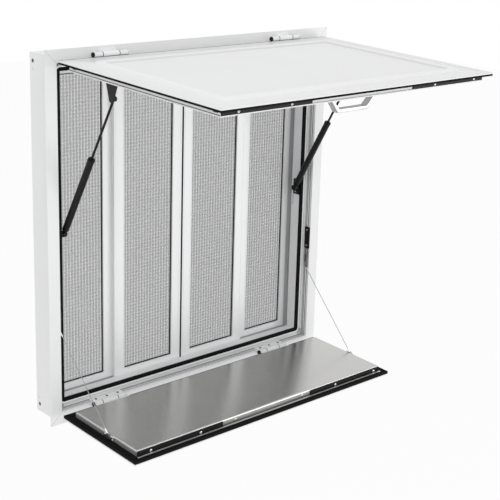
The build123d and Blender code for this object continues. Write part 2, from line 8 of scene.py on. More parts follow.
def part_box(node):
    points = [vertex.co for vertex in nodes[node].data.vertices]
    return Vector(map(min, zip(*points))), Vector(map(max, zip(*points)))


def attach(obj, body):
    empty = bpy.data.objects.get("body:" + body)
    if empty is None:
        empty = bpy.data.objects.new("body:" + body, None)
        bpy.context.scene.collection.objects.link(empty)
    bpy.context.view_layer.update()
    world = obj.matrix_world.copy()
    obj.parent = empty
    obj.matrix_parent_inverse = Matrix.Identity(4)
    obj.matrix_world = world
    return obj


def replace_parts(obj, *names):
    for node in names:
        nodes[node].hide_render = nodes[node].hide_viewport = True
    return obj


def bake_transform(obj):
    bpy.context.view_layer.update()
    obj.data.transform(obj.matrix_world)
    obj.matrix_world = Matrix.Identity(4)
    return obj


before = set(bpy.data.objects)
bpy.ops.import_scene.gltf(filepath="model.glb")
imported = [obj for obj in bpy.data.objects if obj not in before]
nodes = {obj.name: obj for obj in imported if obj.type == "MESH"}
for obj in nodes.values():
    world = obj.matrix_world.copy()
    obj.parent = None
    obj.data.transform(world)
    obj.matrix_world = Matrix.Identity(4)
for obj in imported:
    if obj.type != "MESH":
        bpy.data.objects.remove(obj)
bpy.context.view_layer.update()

# Everything is drawn in millimetres and scaled once, when a piece is made.
MM = 0.001
HALF_W = 457.0
BOTTOM = -7.0
TOP = 923.0
FRONT = -3.0
FLANGE = 32.0
UPPER_Y = -17.0
UPPER_Z = 905.5
LOWER_Y = -9.2
LOWER_Z = 21.0
AWNING_TILT = 2.4
SHELF_TILT = 2.2
TRAY_HALF = 415.0
AWNING_SIDE = 432.5
AWNING_START = 3.0
AWNING_REACH = 571.0
AWNING_FRONT = 550.0
AWNING_FACE = 5.5
AWNING_INNER = 27.5
SKIN_T = 3.0
SHELF_FACE = -5.5
SHELF_SIDE = 435.0
SHELF_START = 15.0
SHELF_REACH = 308.0
SHELF_TRAY_START = 39.0
SHELF_FRONT = 286.0
SHELF_INNER = 19.5
SHELF_SEAL = 4.5
STRUT_X = 389.0
STRUT_FOOT = (31.0, 471.0)      # y and z of the lower stud
STRUT_HEAD = (-175.0, 831.0)    # y and z of the upper eye
HINGES = (-284.0, 284.0)
KNUCKLE_GAP = 24.0              # from a hinge's middle to each gap between its knuckles
CAP_END = 48.5                  # from a hinge's middle to the end of its right-hand knuckle
HOOK_X, HOOK_Y = 421.75, 5.5    # where the snap links hang
EYE_U, EYE_N = 178.0, 16.5      # the cable eye's middle on the shelf
SCREEN_PITCH = 1.5
SLOT_MIDDLE = 18.0              # height of the slots in the awning tray's sides

AMBIENT = 0.82                  # the world's level for what isn't seen as background
FLOOR_SHARE = 0.9               # how much of the seen floor is plain white
FLOOR_SIZE, FLOOR_Z = 14.0, -1.5
CAMERA_ANGLES = (42.14, -15.89, 1.54)
CAMERA_PLACE = (-1.962, -2.341, 1.306)
CAMERA_LENS = 87.34
CAMERA_SHIFT = (0.02, -0.05)


# Materials

def material(name, color, metallic=0.0, roughness=0.5, spread=0.0, spread_scale=6.0, rough_spread=0.0,
             grain=(400.0, 400.0, 400.0), bump=0.0, distance=0.0002, coat=0.0, specular=0.5):
    """A plain shader whose colour, gloss and surface vary a little, as a real finish does."""
    mat = bpy.data.materials.new(name)
    mat.use_nodes = True
    tree = mat.node_tree
    shader = tree.nodes["Principled BSDF"]
    shader.inputs["Metallic"].default_value = metallic
    shader.inputs["Coat Weight"].default_value = coat
    shader.inputs["Specular IOR Level"].default_value = specular
    place = tree.nodes.new("ShaderNodeTexCoord")
    broad = tree.nodes.new("ShaderNodeTexNoise")
    broad.inputs["Scale"].default_value = spread_scale
    broad.inputs["Detail"].default_value = 4.0
    tree.links.new(place.outputs["Object"], broad.inputs["Vector"])
    tint = tree.nodes.new("ShaderNodeMapRange")
    tint.inputs["From Min"].default_value = 0.3
    tint.inputs["From Max"].default_value = 0.7
    tint.inputs["To Min"].default_value = 1.0 - spread
    tint.inputs["To Max"].default_value = 1.0 + spread
    tree.links.new(broad.outputs["Fac"], tint.inputs["Value"])
    shade = tree.nodes.new("ShaderNodeVectorMath")
    shade.operation = "SCALE"
    shade.inputs[0].default_value = color
    tree.links.new(tint.outputs["Result"], shade.inputs["Scale"])
    tree.links.new(shade.outputs["Vector"], shader.inputs["Base Color"])
    stretch = tree.nodes.new("ShaderNodeMapping")
    stretch.inputs["Scale"].default_value = grain
    tree.links.new(place.outputs["Object"], stretch.inputs["Vector"])
    fine = tree.nodes.new("ShaderNodeTexNoise")
    fine.inputs["Scale"].default_value = 1.0
    fine.inputs["Detail"].default_value = 3.0
    tree.links.new(stretch.outputs["Vector"], fine.inputs["Vector"])
    gloss = tree.nodes.new("ShaderNodeMapRange")
    gloss.inputs["From Min"].default_value = 0.25
    gloss.inputs["From Max"].default_value = 0.75
    gloss.inputs["To Min"].default_value = max(roughness - rough_spread, 0.02)
    gloss.inputs["To Max"].default_value = min(roughness + rough_spread, 1.0)
    tree.links.new(fine.outputs["Fac"], gloss.inputs["Value"])
    tree.links.new(gloss.outputs["Result"], shader.inputs["Roughness"])
    if bump:
        dent = tree.nodes.new("ShaderNodeBump")
        dent.inputs["Strength"].default_value = bump
        dent.inputs["Distance"].default_value = distance
        tree.links.new(fine.outputs["Fac"], dent.inputs["Height"])
        tree.links.new(dent.outputs["Normal"], shader.inputs["Normal"])
    return mat


WHITE = material("white_powder_coat", (0.80, 0.803, 0.808), roughness=0.34, spread=0.012,
                 rough_spread=0.05, grain=(700, 700, 700), bump=0.12, distance=0.0001, specular=0.3)
# Painted highlight: a paler copy of the white paint, for the outer slope and crest of the awning's bead
BEAD_HIGHLIGHT_WHITE = material("white_bead_painted_highlight", (0.84, 0.843, 0.848), roughness=0.36, spread=0.012,
                      rough_spread=0.05, grain=(700, 700, 700), bump=0.12, distance=0.0001, specular=0.3)
# Painted light: a paler, glossier copy of the white paint, for the awning tray and the lower hinge leaves,
# which are lit brighter than the rest
LIT_WHITE = material("white_painted_light", (0.90, 0.902, 0.905), roughness=0.3, spread=0.01,
                        rough_spread=0.05, grain=(600, 600, 600), bump=0.1, distance=0.0001)
# Painted shade: a darker copy of the white paint, for the inner slope of the awning's bead
BEAD_SHADE_WHITE = material("white_bead_painted_shade", (0.70, 0.703, 0.71), roughness=0.36, spread=0.012,
                      rough_spread=0.05, grain=(700, 700, 700), bump=0.12, distance=0.0001, specular=0.3)
SASH = material("white_sash_finish", (0.85, 0.853, 0.86), roughness=0.32, spread=0.01, rough_spread=0.04,
                grain=(500, 500, 90), bump=0.08, distance=0.0001)
STEEL = material("brushed_steel", (0.54, 0.535, 0.523), metallic=1.0, roughness=0.24, spread=0.015,
                 spread_scale=2.0, rough_spread=0.03, grain=(3, 1500, 1500), bump=0.02, distance=0.00002)
STEEL_SIDE = material("folded_steel", (0.66, 0.657, 0.65), metallic=0.75, roughness=0.42, spread=0.03,
                      spread_scale=3.0, rough_spread=0.06, grain=(6, 900, 900), bump=0.06,
                      distance=0.00004)
# Painted shade: a darker copy of the folded steel, for the tray's upright wall
STEEL_WALL_SHADE = material("steel_tray_wall_painted_shade", (0.40, 0.398, 0.394), metallic=0.75, roughness=0.42, spread=0.03,
                      spread_scale=3.0, rough_spread=0.06, grain=(6, 900, 900), bump=0.06,
                      distance=0.00004)
BRIGHT = material("bright_steel", (0.72, 0.72, 0.71), metallic=1.0, roughness=0.22, spread=0.03,
                  rough_spread=0.06, grain=(900, 900, 900), bump=0.05, distance=0.00005)
GUNMETAL = material("dark_screws", (0.10, 0.10, 0.105), metallic=0.8, roughness=0.4, spread=0.05,
                    rough_spread=0.08, grain=(900, 900, 900), bump=0.05, distance=0.00005)
# Black rubber, also used as painted shade along the awning's rear edge
RUBBER_AND_SHADE = material("black_rubber", (0.004, 0.004, 0.0045), roughness=0.7, spread=0.12, rough_spread=0.1,
                  grain=(900, 900, 900), bump=0.2, distance=0.0001, specular=0.1)
# Black plastic, also used as painted shade for the rings in the hinges' knuckle gaps
PLASTIC_AND_SHADE = material("black_plastic", (0.005, 0.005, 0.0055), roughness=0.45, spread=0.1, rough_spread=0.08,
                   grain=(1200, 1200, 1200), bump=0.2, distance=0.0001, specular=0.18)
BLACK = material("black_enamel", (0.005, 0.005, 0.0055), roughness=0.32, spread=0.1, rough_spread=0.05,
                 grain=(500, 500, 500), bump=0.06, distance=0.0001, specular=0.22)
GREY = material("handle_finish", (0.56, 0.565, 0.575), metallic=0.6, roughness=0.34, spread=0.03,
                rough_spread=0.06, grain=(1000, 1000, 1000), bump=0.15, distance=0.0001)
WIRE = material("grey_screen_wire", (0.20, 0.203, 0.21), roughness=0.5, spread=0.08, spread_scale=60.0,
                rough_spread=0.08, grain=(1500, 1500, 1500), bump=0.1, distance=0.00005)
STRAND = material("wire_rope", (0.42, 0.42, 0.42), metallic=0.9, roughness=0.4, spread=0.05,
                  rough_spread=0.08, grain=(900, 900, 900), bump=0.05, distance=0.00005)
# Painted shade: a near-black grey for dark lines in grooves and creases, where shade falls
SHADE = material("painted_groove_shade", (0.06, 0.062, 0.065), roughness=0.8, spread=0.06, rough_spread=0.1,
                 grain=(900, 900, 900), bump=0.15, distance=0.0001)
# Painted shade: near-black for the screws' cross recesses, the tray's side slots and the jamb strips, where
# shade falls
RECESS_SHADE = material("painted_recess_shade", (0.01, 0.01, 0.011), roughness=0.8, spread=0.1, rough_spread=0.1,
                grain=(700, 700, 700), bump=0.1)
# Grey for the seams, and painted shade on the first track's liners
SEAM_AND_SHADE = material("grey_seam_and_shade", (0.40, 0.405, 0.415), roughness=0.7, spread=0.1, rough_spread=0.1,
                grain=(700, 700, 700), bump=0.1)

NODE_MATERIALS = {
    "awning_seal": RUBBER_AND_SHADE, "shelf_seal": RUBBER_AND_SHADE, "weatherstrip": RUBBER_AND_SHADE,
    "awning_front_strips": PLASTIC_AND_SHADE, "shelf_front_strips": PLASTIC_AND_SHADE, "latch_blocks": PLASTIC_AND_SHADE,
    "upper_hinge_pins": PLASTIC_AND_SHADE, "lower_hinge_pins": PLASTIC_AND_SHADE,
    # The awning tray and the lower hinge leaves take the paler white copy: painted light
    "upper_hinge_frame_leaves": SASH, "lower_hinge_frame_leaves": LIT_WHITE,
    "lower_hinge_shelf_leaves": LIT_WHITE,
    "awning_handle": GREY, "awning_tray": LIT_WHITE, "shelf_tray": STEEL,
    "cable_eyes": BRIGHT, "cable_hooks": GUNMETAL,
    "left_cable": BRIGHT, "right_cable": BRIGHT, "strut_feet": BLACK, "strut_heads": BLACK,
    "left_strut_cylinder": BLACK, "right_strut_cylinder": BLACK,
    "left_strut_rod": BLACK, "right_strut_rod": BLACK,
}
for name, node in nodes.items():
    chosen = NODE_MATERIALS.get(name)
    if chosen is None:
        chosen = WIRE if name.endswith("_screen") else SASH if "_sash_" in name else WHITE
    node.data.materials.clear()
    node.data.materials.append(chosen)


# Building pieces

class Piece:
    """A mesh that is put together in millimetres and then rides on a body."""

    def __init__(self, name, body, slot, *mats):
        self.name = name
        self.body = body
        self.slot = slot
        self.mats = mats
        self.bm = bmesh.new()

    def _new(self, before, mat):
        if mat:
            for face in self.bm.faces:
                if face not in before:
                    face.material_index = mat

    def box(self, low, high, mat=0, bevel=0.0, matrix=None):
        """A box between two corners, its edges rounded by bevel."""
        before = set(self.bm.faces)
        middle = (Vector(low) + Vector(high)) / 2
        size = [abs(b - a) for a, b in zip(low, high)]
        made = bmesh.ops.create_cube(self.bm, size=1.0)["verts"]
        bmesh.ops.transform(self.bm, verts=made,
                            matrix=Matrix.Translation(middle) @ Matrix.Diagonal((*size, 1.0)))
        if bevel:
            edges = list({e for v in made for e in v.link_edges})
            made = bmesh.ops.bevel(self.bm, geom=edges, offset=bevel, segments=2, profile=0.6,
                                   affect="EDGES")["verts"]
            made = list({v for f in self.bm.faces if f not in before for v in f.verts})
        if matrix:
            bmesh.ops.transform(self.bm, verts=made, matrix=matrix)
        self._new(before, mat)

    def lathe(self, profile, matrix, mat=0, seg=20):
        """Turns (radius, height) points about local Z."""
        before = set(self.bm.faces)
        rings = []
        for r, h in profile:
            if r < 1e-6:
                rings.append([self.bm.verts.new(matrix @ Vector((0, 0, h)))])
            else:
                rings.append([self.bm.verts.new(matrix @ Vector((r * math.cos(a), r * math.sin(a), h)))
                              for a in (2 * math.pi * k / seg for k in range(seg))])
        for a, b in zip(rings, rings[1:]):
            for k in range(seg):
                j = (k + 1) % seg
                corners = [a[k % len(a)], a[j % len(a)], b[j % len(b)], b[k % len(b)]]
                unique = list(dict.fromkeys(corners))
                if len(unique) > 2:
                    self.bm.faces.new(unique)
        self._new(before, mat)

    def tube(self, path, radius, mat=0, seg=10, ends=True, twist=0.0, lobes=0, depth=0.0):
        """A tube along points. With lobes it is a strand of wires that turns by twist in each millimetre."""
        before = set(self.bm.faces)
        points = [Vector(p) for p in path]
        rings = []
        side = None
        run = 0.0
        for i, p in enumerate(points):
            ahead = points[min(i + 1, len(points) - 1)] - points[max(i - 1, 0)]
            ahead.normalize()
            if side is None:
                side = ahead.orthogonal().normalized()
            side = (side - ahead * side.dot(ahead)).normalized()
            up = ahead.cross(side)
            if i:
                run += (p - points[i - 1]).length
            ring = []
            for k in range(seg):
                a = 2 * math.pi * k / seg
                r = radius * (1.0 - depth * abs(math.sin(lobes * a / 2))) if lobes else radius
                turn = a + twist * run
                ring.append(self.bm.verts.new(p + (side * math.cos(turn) + up * math.sin(turn)) * r))
            rings.append(ring)
        for a, b in zip(rings, rings[1:]):
            for k in range(seg):
                self.bm.faces.new([a[k], a[(k + 1) % seg], b[(k + 1) % seg], b[k]])
        if ends:
            self.bm.faces.new(list(reversed(rings[0])))
            self.bm.faces.new(rings[-1])
        self._new(before, mat)

    def done(self, angle=40.0):
        bmesh.ops.recalc_face_normals(self.bm, faces=self.bm.faces)
        for face in self.bm.faces:
            face.smooth = True
        for edge in self.bm.edges:
            edge.smooth = edge.calc_face_angle(0.0) < math.radians(angle)
        bmesh.ops.transform(self.bm, verts=self.bm.verts, matrix=Matrix.Scale(MM, 4))
        mesh = bpy.data.meshes.new(self.name)
        self.bm.to_mesh(mesh)
        self.bm.free()
        for mat in self.mats:
            mesh.materials.append(mat)
        obj = bpy.data.objects.new(self.name, mesh)
        bpy.context.scene.collection.objects.link(obj)
        if self.body:
            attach(obj, self.body)
        return obj


# A panel's own axes: x as in the window, u out from the pivot, n from the pivot towards the inner face.
def awning_axes():
    t = math.radians(AWNING_TILT)
    return Matrix(((1, 0, 0, 0),
                   (0, -math.cos(t), math.sin(t), UPPER_Y),
                   (0, -math.sin(t), -math.cos(t), UPPER_Z),
                   (0, 0, 0, 1)))


def shelf_axes():
    t = math.radians(SHELF_TILT)
    return Matrix(((1, 0, 0, 0),
                   (0, -math.cos(t), -math.sin(t), LOWER_Y),
                   (0, -math.sin(t), math.cos(t), LOWER_Z),
                   (0, 0, 0, 1)))


ON_AWNING = awning_axes()
ON_SHELF = shelf_axes()


def facing(point, normal, base=None):
    """A matrix whose local Z points along normal, at a point of the base's axes."""
    base = base or Matrix.Identity(4)
    n = (base.to_3x3() @ Vector(normal)).normalized()
    turn = n.to_track_quat("Z", "Y").to_matrix().to_4x4()
    return Matrix.Translation(base @ Vector(point)) @ turn


def screw(piece, point, normal, base=None, r=3.6, turn=20.0, head=0, recess=1):
    """A domed screw head with a cross recess, drawn as two thin boxes in the recess material; where that is
    the near-black one, the recess is painted shade.
    """
    at = facing(point, normal, base)
    h = 0.5 * r
    profile = [(r, 0), (r, 0.25 * h), (0.92 * r, 0.55 * h), (0.7 * r, 0.82 * h), (0.4 * r, 0.96 * h), (0, h)]
    piece.lathe(profile, at, head)
    spin = at @ Matrix.Rotation(math.radians(turn), 4, "Z")
    for a in (0, 90):
        slot = spin @ Matrix.Rotation(math.radians(a), 4, "Z")
        piece.box((-0.52 * r, -0.11 * r, 0.72 * h), (0.52 * r, 0.11 * r, 1.03 * h), recess, matrix=slot)


def wire_radius(k, thin, thick):
    """Two wires in six are thin, which gives the woven screen its soft stripes."""
    return thin if k % 6 < 2 else thick


# Screens: round wires in two layers, inside each sash's plate
def screen(name):
    low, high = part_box(name)
    x0, y0, z0 = (v / MM for v in low)
    x1, y1, z1 = (v / MM for v in high)
    middle = (y0 + y1) / 2
    mesh = Piece(name + "_mesh", "frame", "grey_screen", WIRE)
    across = int((x1 - x0) / SCREEN_PITCH)
    up = int((z1 - z0) / SCREEN_PITCH)
    for k in range(1, across):
        x = x0 + (x1 - x0) * k / across
        r = wire_radius(k, 0.13, 0.35)
        mesh.tube([(x, middle - 0.02, z0), (x, middle - 0.02, z1)], r, seg=5, ends=False)
    for k in range(1, up):
        z = z0 + (z1 - z0) * k / up
        r = wire_radius(k, 0.2, 0.33)
        mesh.tube([(x0, middle + 0.02, z), (x1, middle + 0.02, z)], r, seg=5, ends=False)
    obj = mesh.done(angle=80.0)
    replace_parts(obj, name)
    spline = Piece(name + "_spline", "frame", "black_rubber", RUBBER_AND_SHADE)
    w = 2.6
    d = 1.6
    spline.box((x0, middle - d, z0), (x0 + w, middle + d, z1), bevel=0.6)
    spline.box((x1 - w, middle - d, z0), (x1, middle + d, z1), bevel=0.6)
    spline.box((x0 + w, middle - d, z0), (x1 - w, middle + d, z0 + w), bevel=0.6)
    spline.box((x0 + w, middle - d, z1 - w), (x1 - w, middle + d, z1), bevel=0.6)
    spline.done()


# Beads round each screen, and the ribs that the stiles carry
def sash_beads(name):
    low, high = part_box(name + "_screen")
    x0, _, z0 = (v / MM for v in low)
    x1, _, z1 = (v / MM for v in high)
    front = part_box(name + "_stiles")[0].y / MM
    bead = Piece(name + "_beads", "frame", "white_paint", SASH)
    w = 3.0
    out = 0.7
    back = front + 0.5
    bead.box((x0 - w, front - out, z0 - w), (x0, back, z1 + w), bevel=0.4)
    bead.box((x1, front - out, z0 - w), (x1 + w, back, z1 + w), bevel=0.4)
    bead.box((x0, front - out, z0 - w), (x1, back, z0), bevel=0.4)
    bead.box((x0, front - out, z1), (x1, back, z1 + w), bevel=0.4)
    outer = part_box(name + "_stiles")
    for edge, way in ((outer[0].x / MM, 1), (outer[1].x / MM, -1)):
        a = edge + way * 5.0
        bead.box((min(a, a + way * 1.6), front - 0.5, outer[0].z / MM + 4),
                 (max(a, a + way * 1.6), back, outer[1].z / MM - 4), bevel=0.25)
    bead.done()


for side in ("left_outer", "left_middle", "right_middle", "right_outer"):
    screen(side + "_sash_screen")
    sash_beads(side + "_sash")

# The rubber between the two middle sashes, with a bulb in front
meeting = Piece("meeting_seal", "frame", "black_rubber", RUBBER_AND_SHADE)
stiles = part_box("left_middle_sash_stiles")
(_, front, low), (edge, back, high) = ([v / MM for v in corner] for corner in stiles)
gap = max(-edge - 0.1, 0.3)
meeting.box((-gap, front + 0.6, low + 1), (gap, back - 0.6, high - 1), bevel=0.1)
meeting.box((-2.4, front - 0.7, low + 1), (2.4, front + 0.2, high - 1), bevel=0.3)
meeting.done()


# Seams where the frame's members meet
seams = Piece("mitre_seams", "frame", "white_paint", SEAM_AND_SHADE, RECESS_SHADE)
for sx in (-1, 1):
    for top in (True, False):
        corner = Vector((sx * HALF_W, FRONT, TOP if top else BOTTOM))
        inner = Vector((sx * (HALF_W - FLANGE), FRONT, TOP - FLANGE if top else BOTTOM + FLANGE))
        way = inner - corner
        length = way.length
        across = Vector((way.z, 0, -way.x)).normalized()
        at = Matrix.Translation((corner + inner) / 2) @ Matrix((
            (way.x / length, 0, across.x, 0), (0, 1, 0, 0), (way.z / length, 0, across.z, 0), (0, 0, 0, 1)))
        seams.box((-length / 2 + 0.5, -0.04, -0.3), (length / 2 - 0.2, 0.2, 0.3), matrix=at)
# A thin near-black strip of painted shade on each jamb's side, below the strut's foot
for sx in (-1, 1):
    seams.box((sx * 405.0 - 0.08, 51.0, 415.0), (sx * 405.0 + 0.08, 52.6, 490.0), 1)
seams.done()


# Painted shade: dark lines in the reveal's grooves and at the retainers' front edges, and grey liners on the
# first track's fins; then the weatherstrip's pale edge
def frame_bars(piece, y0, y1, inset0, inset1, ends):
    """Four bars round the opening, between two distances in from the flange's edge."""
    a, b = sorted((inset0, inset1))
    for sx in (-1, 1):
        x = sorted((sx * (HALF_W - a), sx * (HALF_W - b)))
        piece.box((x[0], y0, BOTTOM + ends), (x[1], y1, TOP - ends))
    piece.box((ends - HALF_W, y0, BOTTOM + a), (HALF_W - ends, y1, BOTTOM + b))
    piece.box((ends - HALF_W, y0, TOP - b), (HALF_W - ends, y1, TOP - a))


# Painted shade: near-black strips on the groove floors and along the retainers' front edges
lines = Piece("groove_shade_lines", "frame", "white_paint", SHADE)
for y in (4.5, 11.0):
    frame_bars(lines, y + 0.2, y + 2.3, 30.6, 31.7, 31.9)
frame_bars(lines, 15.55, 15.95, 31.9, 33.2, 33.6)
lines.done()

# Painted shade: grey strips on the fins of the first track, where the empty channel lies in shadow
liners = Piece("track_shade_liners", "frame", "grey_plastic", SEAM_AND_SHADE)
frame_bars(liners, 66.65, 66.95, 44.3, 51.8, 52.0)
for sx in (-1, 1):
    x = sorted((sx * (HALF_W - 51.8), sx * (HALF_W - 59.0)))
    liners.box((x[0], 66.65, BOTTOM + 52.5), (x[1], 66.95, TOP - 52.5))
liners.done()


def strip_edge():
    """A thin flat ring with round corners, from its section's half width, half height, corner and depth."""
    piece = Piece("weatherstrip_edge", "frame", "white_paint", SASH)
    rings = []
    section = ((416.9, 424.9, 14.0, 19.2), (416.9, 424.9, 14.0, 18.8), (416.6, 424.6, 13.7, 18.6),
               (412.0, 420.0, 9.1, 18.6), (411.7, 419.7, 8.8, 18.8), (411.7, 419.7, 8.8, 19.2))
    for half_w, half_h, corner, y in section:
        ring = []
        in_x, in_z = half_w - corner, half_h - corner
        for cx, cz, first in ((in_x, in_z, 0), (-in_x, in_z, 90), (-in_x, -in_z, 180), (in_x, -in_z, 270)):
            for k in range(7):
                a = math.radians(first + 15.0 * k)
                ring.append(piece.bm.verts.new((cx + corner * math.cos(a), y,
                                                (TOP + BOTTOM) / 2 + cz + corner * math.sin(a))))
        rings.append(ring)
    for a, b in zip(rings, rings[1:] + rings[:1]):
        for k in range(len(a)):
            j = (k + 1) % len(a)
            piece.bm.faces.new([a[k], a[j], b[j], b[k]])
    piece.done()


strip_edge()


# Small screws and holes of the frame
fixings = Piece("frame_screws", "frame", "plated_steel", BRIGHT, RECESS_SHADE, GUNMETAL, SASH)
for sx in (-1, 1):
    for z in (TOP - 52.0, BOTTOM + 52.0):
        screw(fixings, (sx * (HALF_W - 14.0), 70.0, z), (sx, 0, 0), r=2.6)
    for z in (346.0, 300.0):
        screw(fixings, (sx * (HALF_W - 35.4), 7.0, z), (-sx, 0, 0), r=2.2)
    for z in (455.5, 486.5):
        screw(fixings, (sx * (HALF_W - 55.0), 41.0, z), (-sx, 0, 0), r=2.4)
for x in HINGES:
    for dx in (-34.0, 0.0, 34.0):
        screw(fixings, (x + dx, 4.0, 27.0), (0, 0, 1), r=3.4, turn=15.0 + dx, head=2)
    for dx in (-16.0, 16.0):
        screw(fixings, (x + dx, -5.0, UPPER_Z + 9.6), (0, -1, 0), r=2.2, turn=30.0 + dx, head=3, recess=3)
fixings.done()

# The latch blocks with soft edges, and the snap links that hang under them
def latches():
    blocks = Piece("latch_blocks_soft", "frame", "black_plastic", PLASTIC_AND_SHADE)
    links = Piece("cable_links", "frame", "plated_steel", GUNMETAL)
    bend, wire = 3.6, 1.3
    low, high = 239.8, 288.1
    for sx in (-1, 1):
        a, b = sorted((sx * 421.6, sx * 424.95))
        blocks.box((a, -2.2, 291.2), (b, 15.5, 354.8), bevel=1.2)
        a, b = sorted((sx * 421.2, sx * 422.0))
        blocks.box((a, 1.0, 306.0), (b, 12.5, 340.0), bevel=0.35)
        path = []
        for z, first in ((high, 0), (low, 180)):
            path += [(sx * HOOK_X, HOOK_Y + bend * math.cos(math.radians(first + 20 * k)),
                      z + bend * math.sin(math.radians(first + 20 * k))) for k in range(10)]
        links.tube(path + path[:1], wire, seg=12, ends=False)
        links.tube([(sx * HOOK_X, HOOK_Y + bend, 252.0), (sx * HOOK_X, HOOK_Y + bend, 272.0)], 2.0, seg=14)
        links.tube([(sx * HOOK_X, HOOK_Y - bend, 262.0), (sx * HOOK_X, HOOK_Y - bend, 281.0)], 1.8, seg=14)
    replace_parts(blocks.done(), "latch_blocks")
    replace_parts(links.done(), "cable_hooks")


latches()

# Black rings in the gaps between the knuckles: painted shade for the shadowed gaps
gap_shades = Piece("hinge_gap_shade_rings", "frame", "black_plastic", PLASTIC_AND_SHADE)
GAP_RING = [(2.6, -0.98), (5.9, -0.98), (6.1, -0.7), (6.1, 0.7), (5.9, 0.98), (2.6, 0.98)]
for x in HINGES:
    for y, z in ((UPPER_Y, UPPER_Z), (LOWER_Y, LOWER_Z)):
        for dx in (-KNUCKLE_GAP, KNUCKLE_GAP):
            at = Matrix.Translation((x + dx, y, z)) @ Matrix.Rotation(math.pi / 2, 4, "Y")
            gap_shades.lathe(GAP_RING, at, seg=24)
gap_shades.done()

# White sleeves over the pins' right-hand caps: only the left-hand ones are black
sleeves = Piece("pin_sleeves", "frame", "white_paint", SASH)
for x in HINGES:
    for y, z in ((UPPER_Y, UPPER_Z), (LOWER_Y, LOWER_Z)):
        at = Matrix.Translation((x + CAP_END, y, z)) @ Matrix.Rotation(math.pi / 2, 4, "Y")
        sleeves.lathe([(6.01, 0), (6.1, 0.2), (6.1, 2.6), (5.6, 2.95), (0, 3.0)], at, seg=28)
sleeves.done()

awning_screws = Piece("awning_screws", "awning", "plated_steel", BRIGHT, RECESS_SHADE)
for x in (-370.0, -222.0, 238.0, 382.0):
    screw(awning_screws, (x, AWNING_FRONT + 3.0, 19.5), (0, 1, 0), ON_AWNING, r=3.6, turn=x)
for sx in (-1, 1):
    for u in (60.0, AWNING_FRONT - 34.0):
        screw(awning_screws, (sx * TRAY_HALF, u, 19.0), (sx, 0, 0), ON_AWNING, r=2.6)
    # The slots in the tray's sides are flat near-black boxes: painted shade
    for u in (44.0, AWNING_FRONT - 16.0):
        awning_screws.box((sx * TRAY_HALF - 0.2, u - 8, SLOT_MIDDLE - 2.5),
                          (sx * TRAY_HALF + 0.15, u + 8, SLOT_MIDDLE + 2.5), 1, bevel=0.15, matrix=ON_AWNING)
awning_screws.done()
# Painted shade: a dark line along each tray side, in the crease above the lip
lip_shade = Piece("awning_lip_shade_line", "awning", "white_paint", SHADE)
for sx in (-1, 1):
    lip_shade.box((sx * TRAY_HALF - 0.1, 26.0, 23.9), (sx * TRAY_HALF + 0.12, AWNING_FRONT - 2.0, 24.9),
                 matrix=ON_AWNING)
lip_shade.done()

shelf_screws = Piece("shelf_screws", "shelf", "plated_steel", BRIGHT, RECESS_SHADE)
for x in (-375.0, -223.0, 244.0, 394.0):
    screw(shelf_screws, (x, SHELF_FRONT + 3.0, 9.0), (0, 1, 0), ON_SHELF, r=3.8, turn=x)
for x in (-109.0, 123.0):
    screw(shelf_screws, (x, SHELF_FRONT, 9.0), (0, 1, 0), ON_SHELF, r=3.8, turn=x)
shelf_screws.done()

# Bolts through the cable eyes
bolts = Piece("cable_eye_bolts", "shelf", "plated_steel", GUNMETAL, BRIGHT)
for sx in (-1, 1):
    turn = facing((sx * 419.3, EYE_U, EYE_N), (sx, 0, 0), ON_SHELF)
    bolts.lathe([(1.7, 0), (4.3, 0), (4.4, 0.3), (4.1, 1.0), (0, 1.2)], turn, seg=6)
    a, b = sorted((sx * 415.0, sx * 416.3))
    bolts.box((a, EYE_U - 20.0, 2.5), (b, EYE_U + 20.0, EYE_N), 1, bevel=0.5, matrix=ON_SHELF)
    a, b = sorted((sx * 416.2, sx * 418.6))
    bolts.box((a, EYE_U - 7.0, 5.0), (b, EYE_U + 11.0, 12.0), bevel=0.8, matrix=ON_SHELF)
    for du, n in ((-15.0, 12.0), (15.0, 7.0)):
        screw(bolts, (sx * 416.2, EYE_U + du, n), (sx, 0, 0), ON_SHELF, r=3.0, turn=du, head=1, recess=0)
bolts.done()

# The awning's skin: a sheet with a soft pressed bead all round, its outer slope and crest painted paler
# (painted highlight) and its inner slope darker (painted shade)
def rounded_loop(inset, corner, n, seg=6):
    """Points of a rounded rectangle, inset from the skin's edge, at height n."""
    half = AWNING_SIDE - inset
    u0 = AWNING_START + inset
    u1 = AWNING_REACH - inset
    loop = []
    for cx, cu, first in ((half - corner, u1 - corner, 0), (corner - half, u1 - corner, 90),
                          (corner - half, u0 + corner, 180), (half - corner, u0 + corner, 270)):
        for k in range(seg + 1):
            a = math.radians(first + 90.0 * k / seg)
            loop.append((cx + corner * math.cos(a), cu + corner * math.sin(a), n))
    return loop


